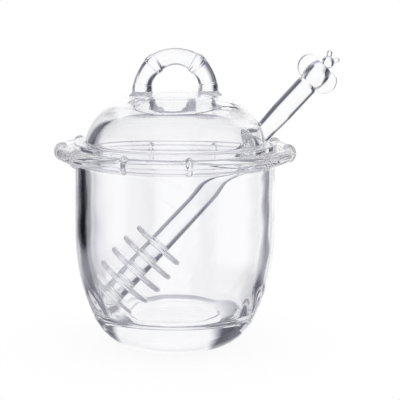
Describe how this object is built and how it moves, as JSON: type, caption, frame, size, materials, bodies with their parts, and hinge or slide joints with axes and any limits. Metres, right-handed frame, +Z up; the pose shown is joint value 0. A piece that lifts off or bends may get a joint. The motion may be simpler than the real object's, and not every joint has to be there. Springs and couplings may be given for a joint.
{
  "type": "honey pot",
  "caption": "Clear glass honey pot: heavy-based bowl with a bamboo-form rim, domed lid with an arched bamboo handle, and a leaning dipper with a bee on its end.",
  "frame": {"origin": "centre of the flat foot, on the table", "axes": "+Z up along the pot's axis; the dipper and the handle lie in the XZ plane, with the bee towards +X"},
  "size_m": [0.1283, 0.1074, 0.133],
  "materials": {
    "clear_glass": "clear, fire polished"
  },
  "bodies": {
    "pot": {"bowl": "clear_glass", "rim_ring": "clear_glass", "rim_joints": "clear_glass"},
    "lid": {"lid_dome": "clear_glass", "lid_handle": "clear_glass", "handle_joints": "clear_glass"},
    "dipper": {"dipper_rod": "clear_glass", "dipper_disc_1": "clear_glass", "dipper_disc_2": "clear_glass", "dipper_disc_3": "clear_glass", "dipper_disc_4": "clear_glass", "dipper_disc_5": "clear_glass", "bee_body": "clear_glass", "bee_head": "clear_glass", "bee_wing_left": "clear_glass", "bee_wing_right": "clear_glass", "bee_antenna_left": "clear_glass", "bee_antenna_right": "clear_glass"}
  },
  "joints": [
    {"name": "lid_lift", "type": "slide", "parent": "pot", "child": "lid", "axis": [0, 0, 1], "range_m": [0, 0.06]},
    {"name": "dipper_twirl", "type": "hinge", "parent": "pot", "child": "dipper", "pos_m": [0.03662, 0, 0.09146], "axis": [0.6884, 0, 0.7254], "continuous": true}
  ]
}
